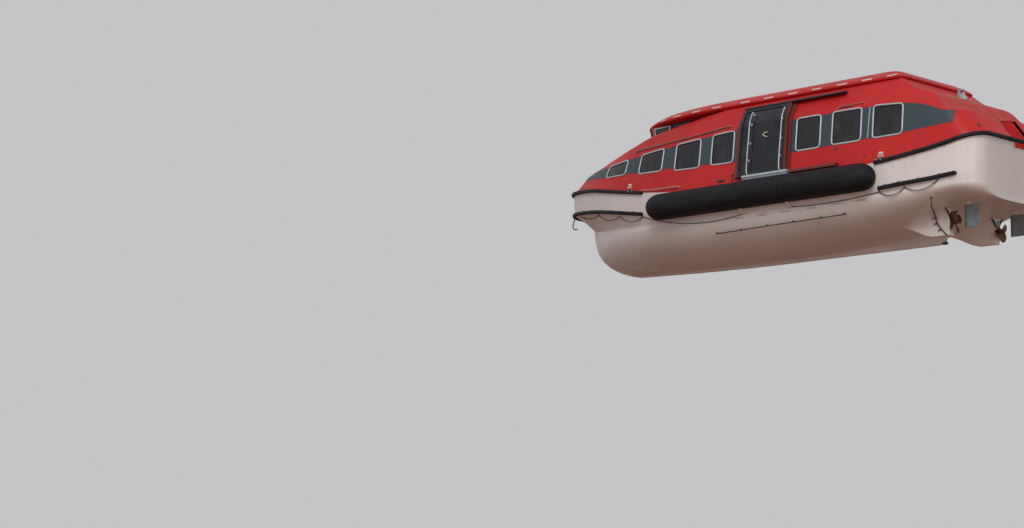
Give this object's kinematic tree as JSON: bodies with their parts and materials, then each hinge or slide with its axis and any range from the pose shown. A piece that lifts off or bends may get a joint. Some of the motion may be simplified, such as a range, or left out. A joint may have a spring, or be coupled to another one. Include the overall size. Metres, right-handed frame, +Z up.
{
  "type": "enclosed lifeboat",
  "caption": "Enclosed lifeboat with a keeled white hull, black fenders, a red canopy with side windows, a helm position, sliding doors, propellers behind skegs and rudders.",
  "frame": {"origin": "on the waterline, amidships, on the centreline", "axes": "+X to the bow, +Y to port, +Z up"},
  "size_m": [14.3998, 5.404, 4.3954],
  "materials": {
    "hull_white": "white gelcoat, weathered to a soft gloss",
    "canopy_red": "red gelcoat with a soft gloss",
    "fender_black": "black foam fender skin and strakes",
    "door_black": "black powder coat",
    "window_glass": "dark tinted pane",
    "rail_pale": "satin rails and sills",
    "gear_grey": "blue-grey paint",
    "propeller_bronze": "dark bronze",
    "hook_steel": "stainless",
    "seat_shell": "moulded seats"
  },
  "bodies": {
    "boat": {"hull": "hull_white", "canopy_fore": "canopy_red", "canopy_aft": "canopy_red", "stern_cockpit": "canopy_red", "roof_panel": "canopy_red", "helm_walls": "canopy_red", "windscreen": "window_glass", "helm_glass_port": "window_glass", "helm_glass_starboard": "window_glass", "window_port_1": "window_glass", "window_port_2": "window_glass", "window_port_3": "window_glass", "window_port_4": "window_glass", "window_port_5": "window_glass", "window_port_6": "window_glass", "window_port_7": "window_glass", "window_starboard_1": "window_glass", "window_starboard_2": "window_glass", "window_starboard_3": "window_glass", "window_starboard_4": "window_glass", "window_starboard_5": "window_glass", "window_starboard_6": "window_glass", "window_starboard_7": "window_glass", "door_track_port": "door_black", "door_sill_port": "rail_pale", "fender_fore_port": "fender_black", "fender_middle_port": "fender_black", "fender_aft_port": "fender_black", "engine_port": "gear_grey", "seats_port": "seat_shell", "lower_strake_aft_port": "fender_black", "door_track_starboard": "door_black", "door_sill_starboard": "rail_pale", "fender_fore_starboard": "fender_black", "fender_middle_starboard": "fender_black", "fender_aft_starboard": "fender_black", "engine_starboard": "gear_grey", "seats_starboard": "seat_shell", "lower_strake_aft_starboard": "fender_black", "seats_centre": "seat_shell", "helm_console": "gear_grey", "upper_strake_fore": "fender_black", "lower_strake_fore": "fender_black", "upper_strake_aft": "fender_black", "lifting_hook_fore": "hook_steel", "lifting_hook_aft": "hook_steel"},
    "stern_door": {"stern_door": "canopy_red"},
    "roof_hatch": {"roof_hatch": "canopy_red"},
    "port_door": {"side_door_port": "door_black", "door_glass_port": "window_glass", "door_rail_fore_port": "rail_pale", "door_rail_aft_port": "rail_pale"},
    "port_propeller": {"propeller_port": "propeller_bronze"},
    "port_rudder": {"rudder_port": "gear_grey"},
    "starboard_door": {"side_door_starboard": "door_black", "door_glass_starboard": "window_glass", "door_rail_fore_starboard": "rail_pale", "door_rail_aft_starboard": "rail_pale"},
    "starboard_propeller": {"propeller_starboard": "propeller_bronze"},
    "starboard_rudder": {"rudder_starboard": "gear_grey"}
  },
  "joints": [
    {"name": "port_door_slide", "type": "slide", "parent": "boat", "child": "port_door", "axis": [-1, 0, 0], "range_m": [0, 1.5]},
    {"name": "starboard_door_slide", "type": "slide", "parent": "boat", "child": "starboard_door", "axis": [-1, 0, 0], "range_m": [0, 1.5]},
    {"name": "stern_door_hinge", "type": "hinge", "parent": "boat", "child": "stern_door", "pos_m": [-6.1729, 0.34, 1.68], "axis": [0, 0, -1], "range_deg": [0, 90]},
    {"name": "roof_hatch_hinge", "type": "hinge", "parent": "boat", "child": "roof_hatch", "pos_m": [-2.75, 0, 3.4604], "axis": [0, 1, 0], "range_deg": [0, 100]},
    {"name": "port_propeller_spin", "type": "hinge", "parent": "boat", "child": "port_propeller", "pos_m": [-5.74, 1.03, -0.56], "axis": [1, 0, 0], "continuous": true},
    {"name": "starboard_propeller_spin", "type": "hinge", "parent": "boat", "child": "starboard_propeller", "pos_m": [-5.74, -1.03, -0.56], "axis": [1, 0, 0], "continuous": true},
    {"name": "port_rudder_turn", "type": "hinge", "parent": "boat", "child": "port_rudder", "pos_m": [-6.24, 1.03, -0.45], "axis": [0, 0, 1], "range_deg": [-35, 35]},
    {"name": "starboard_rudder_turn", "type": "hinge", "parent": "boat", "child": "starboard_rudder", "pos_m": [-6.24, -1.03, -0.45], "axis": [0, 0, 1], "range_deg": [-35, 35]}
  ],
  "couplings": [
    {"joint": "starboard_rudder_turn", "follows": "port_rudder_turn", "ratio": 1}
  ]
}
